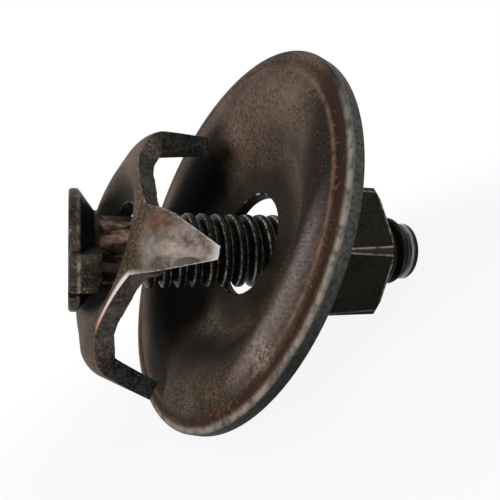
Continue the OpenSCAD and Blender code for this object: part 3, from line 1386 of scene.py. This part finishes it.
@dataclass
class SaucerDisc:
    """The dished disc with its crease inside the rim."""

    bolt: Bolt
    radius: float = 16.15
    sheet: float = 1.0
    depth: float = 2.75
    crown: float = 13.2
    crown_height: float = 0.25
    shoulder: float = 5.0
    hollow: float = 3.4
    wall_slope: float = 46.0
    rim_roll: float = 0.2
    lip: float = 0.35
    crease: float = 1.1
    crease_depth: float = 0.11
    crease_width: float = 0.3
    back_roll: float = 0.08
    off: float = 0.6
    below: float = 15.1
    lean: float = 20.0
    play: float = 0.85
    lip_step: float = 10.0
    face_step: float = 0.2
    rim_start: float = 85.0
    rim_step: float = 12.0
    rim_facet: float = 0.25
    back_step: float = 30.0
    steps: int = 288
    sharp: float = 50.0
    finish: DiscSteel = DiscSteel()
    crown_arc: float = field(init=False)
    crown_slope: float = field(init=False)
    floor: float = field(init=False)
    hole: float = field(init=False)
    along: float = field(init=False)

    def __post_init__(self) -> None:
        """Works out the arc of the crown, the floor, the hole and the place on the bolt."""
        reach = self.radius - self.rim_roll - self.crown
        self.crown_arc = (reach**2 + self.crown_height**2) / (2 * self.crown_height)
        self.crown_slope = math.degrees(math.asin(reach / self.crown_arc))
        wall = math.radians(self.wall_slope)
        bends = self.shoulder + self.hollow
        drop = self.depth + self.crown_height - bends * (1 - math.cos(wall))
        self.floor = self.crown - bends * math.sin(wall) - drop / math.tan(wall)
        self.hole = leaning_hole(self.bolt.thread, self.sheet, self.lean, self.play)
        self.along = self.bolt.length - self.below

    def dent(self, point: Point) -> Point:
        """Lowers a point of the face where the crease runs."""
        off = (point[0] - (self.radius - self.crease)) / self.crease_width
        return point[0], point[1] - self.crease_depth * math.exp(-off * off)

    def section(self) -> list[Point]:
        """Draws the disc's section.

        Returns:
            Its points, round from the back of the hole.
        """
        sheet, roll = self.sheet, self.back_roll
        back = self.depth - sheet + roll
        top = self.depth + self.crown_height
        hollow = (self.floor, self.hollow)
        shoulder = (self.crown, top - self.shoulder)
        crown = (self.crown, top - self.crown_arc)
        low, high = self.wall_slope - 90.0, 90.0 + self.wall_slope
        out = 90.0 - self.crown_slope
        face_edge = (self.radius - self.rim_roll, self.depth - self.rim_roll)
        face = [self.dent(p) for p in arc(crown, self.crown_arc, 90, out, self.face_step)]
        return [
            (self.hole, -sheet),
            *arc((self.hole + self.lip, -self.lip), self.lip, 180, 90, self.lip_step),
            *arc(hollow, self.hollow, -90, low),
            *arc(shoulder, self.shoulder, high, 90)[:-1],
            *face[:-1],
            *arc(face_edge, self.rim_roll, self.rim_start, 0, self.rim_step),
            *stretch((self.radius, face_edge[1]), (self.radius, back), self.rim_facet),
            *arc((self.radius - roll, back), roll, 0, -90, self.back_step),
            *arc(crown, self.crown_arc - sheet, out, 90),
            *arc(shoulder, self.shoulder - sheet, 90, high)[1:],
            *arc(hollow, self.hollow + sheet, low, -90),
        ]

    def build(self, rest: Matrix) -> list[bpy.types.Object]:
        """Builds and dresses the disc.

        Args:
            rest: Way from the bolt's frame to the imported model's.

        Returns:
            The disc.
        """
        disc = Shape().spin(self.section(), self.steps, closed=True).raw("saucer_disc_pressed")
        leaning = shift(self.off, 0, self.along) @ turn(self.lean, "Y")
        lay(disc, rest @ leaning @ shift(0, 0, self.sheet / 2.0), self.sharp)
        disc.data.materials.append(self.finish.make(self.radius, self.hole, self.depth))
        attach(disc, "disc")
        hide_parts("saucer_disc")
        return [disc]


@dataclass
class HexNut:
    """The nut with chamfered corners and a countersunk bore."""

    bolt: Bolt
    disc: SaucerDisc
    flats: float = 11.1
    height: float = 5.6
    face: float = 5.85
    slope: float = 30.0
    play: float = 0.05
    gap: float = 2.5
    sink: float = 0.55
    turned: float = 6.5
    spare: float = 0.01
    over: float = 1.0
    sides: int = 6
    steps: int = 180
    bore_steps: int = 120
    ease: Ease = Ease(0.12, 25.0, 3)
    finish: NutSteel = NutSteel()
    bore: float = field(init=False)
    end: float = field(init=False)

    def __post_init__(self) -> None:
        """Works out the bore and the height of the free end, below the disc's lowest back."""
        lean = math.radians(self.disc.lean)
        back = self.disc.along - self.disc.sheet / 2.0 / math.cos(lean)
        self.bore = self.bolt.thread + self.play
        self.end = back - self.face * math.tan(lean) - self.gap - self.height

    def build(self, rest: Matrix) -> list[bpy.types.Object]:
        """Builds and dresses the nut.

        Args:
            rest: Way from the bolt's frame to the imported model's.

        Returns:
            The nut.
        """
        corner = self.flats / 2.0 / math.cos(math.pi / self.sides)
        rise = (corner - self.face) * math.tan(math.radians(self.slope))
        top, over = self.height, self.over
        nut = Shape().prism(self.sides, corner, top, self.turned).raw("hex_nut_forged")
        wide = corner + self.spare
        drum = [(0, 0), (self.face, 0), (wide, rise), (wide, top - rise), (self.face, top), (0, top)]
        work(nut, Shape().spin(drum, self.steps).raw("drum"), Cut.COMMON)
        mouth = self.bore + self.sink
        bore = [
            (0, -over),
            (mouth + over, -over),
            (mouth, 0),
            (self.bore, self.sink),
            (self.bore, top - self.sink),
            (mouth, top),
            (mouth + over, top + over),
            (0, top + over),
        ]
        work(nut, Shape().spin(bore, self.bore_steps).raw("bore"), Cut.AWAY)
        lay(nut, rest @ shift(0, 0, self.end))
        nut.data.materials.clear()
        nut.data.materials.append(self.finish.make(corner, self.bore, self.height))
        self.ease.round_off(nut)
        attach(nut, "nut")
        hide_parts("hex_nut")
        return [nut]


@dataclass
class Studio:
    """Pale floor, soft lamps, white surroundings and the camera."""

    place: tuple[float, float, float] = (-20.2329, -45.8378, 16.9149)
    turned: tuple[float, float, float] = (80.7347, 25.875, -20.2789)
    lens: float = 39.6
    sensor: float = 36.0
    clip: Point = (0.001, 20.0)
    ambient: float = 0.05
    floor_radius: float = 3000.0
    floor_sides: int = 96
    floor_tone: Colour = (0.7, 0.7, 0.7)
    floor_glow: float = 0.9
    shade_fade: Point = (15.0, 60.0)
    lamps: dict[Lamp, tuple[tuple[float, float, float], float, float]] = field(
        default_factory=lambda: {
            Lamp.KEY: ((-121.0, -105.0, 79.0), 45.0, 0.19),
            Lamp.FILL: ((60.0, -130.0, 60.0), 90.0, 0.01),
            Lamp.BACK: ((68.0, -35.0, 143.0), 70.0, 0.06),
        }
    )

    def camera(self) -> None:
        """Sets up the camera as it stood in the photograph."""
        data = bpy.data.cameras.new("camera")
        data.lens = self.lens
        data.sensor_width = self.sensor
        data.clip_start, data.clip_end = self.clip
        camera = bpy.data.objects.new("camera", data)
        camera.location = [v * MM for v in self.place]
        camera.rotation_euler = [math.radians(a) for a in self.turned]
        bpy.context.scene.collection.objects.link(camera)
        bpy.context.scene.camera = camera

    def light(self, target: Vector) -> None:
        """Hangs the lamps round the object.

        Args:
            target: Point that the lamps face.
        """
        for lamp, (place, size, power) in self.lamps.items():
            data = bpy.data.lights.new(lamp.value, "AREA")
            data.shape = "DISK"
            data.size = size * MM
            data.energy = power
            thing = bpy.data.objects.new(lamp.value, data)
            thing.location = [v * MM for v in place]
            thing.rotation_euler = (target - thing.location).to_track_quat("-Z", "Y").to_euler()
            bpy.context.scene.collection.objects.link(thing)

    def surroundings(self) -> None:
        """Makes the world white to the camera and in reflections, and a plain light elsewhere."""
        world = bpy.data.worlds.new("surroundings")
        desk = Desk(world)
        level = self.ambient + desk.shown() * (1.0 - self.ambient)
        glow = desk.node("ShaderNodeBackground", sockets={"Color": WHITE, "Strength": level})
        desk.node("ShaderNodeOutputWorld", sockets={"Surface": glow})
        bpy.context.scene.world = world

    def floor(self) -> None:
        """Lays a pale floor that keeps a faint shadow."""
        shape = Shape()
        bmesh.ops.create_circle(
            shape.mesh, cap_ends=True, segments=self.floor_sides, radius=self.floor_radius
        )
        floor = shape.raw("floor")
        floor.data.transform(Matrix.Scale(MM, 4))
        desk = Desk(bpy.data.materials.new("pale_floor"))
        pale = desk.node("ShaderNodeBsdfDiffuse", sockets={"Color": self.floor_tone})
        glow = desk.node("ShaderNodeEmission", sockets={"Color": WHITE, "Strength": 1.0})
        x, y, _ = desk.parts(desk.node("ShaderNodeTexCoord", out="Object"))
        inner, outer = self.shade_fade
        away = desk.fade((x * x + y * y) ** 0.5, inner * MM, outer * MM)
        share = desk.shown() * (self.floor_glow + away * (1.0 - self.floor_glow))
        mixed = desk.node("ShaderNodeMixShader", sockets={0: share, 1: pale, 2: glow})
        desk.node("ShaderNodeOutputMaterial", sockets={"Surface": mixed})
        floor.data.materials.append(desk.owner)
        floor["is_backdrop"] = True

    def build(self, target: Vector) -> None:
        """Builds the whole studio.

        Args:
            target: Middle of the object.
        """
        self.camera()
        self.light(target)
        self.surroundings()
        self.floor()
        bpy.context.scene.view_settings.view_transform = "Standard"


def corners(box: Iterable[Iterable[float]]) -> list[list[float]]:
    """Turns a box into plain lists of numbers."""
    return [[float(v) for v in corner] for corner in box]


def main() -> None:
    """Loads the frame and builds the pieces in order."""
    logging.basicConfig(level=logging.INFO, format="%(name)s: %(message)s")
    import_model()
    solid = corners(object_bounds())
    low, high = (Vector(corner) for corner in solid)
    Studio().build((low + high) / 2.0)
    bolt = Bolt()
    disc = SaucerDisc(bolt)
    nut = HexNut(bolt, disc)
    rest = Rest().matrix(nut)
    for part in (disc, nut, bolt, ClawPlate(bolt)):
        for piece in part.build(rest):
            LOG.info("%s: %d faces", piece.name, len(piece.data.polygons))
    bpy.context.view_layer.update()


if __name__ == "__main__":
    main()
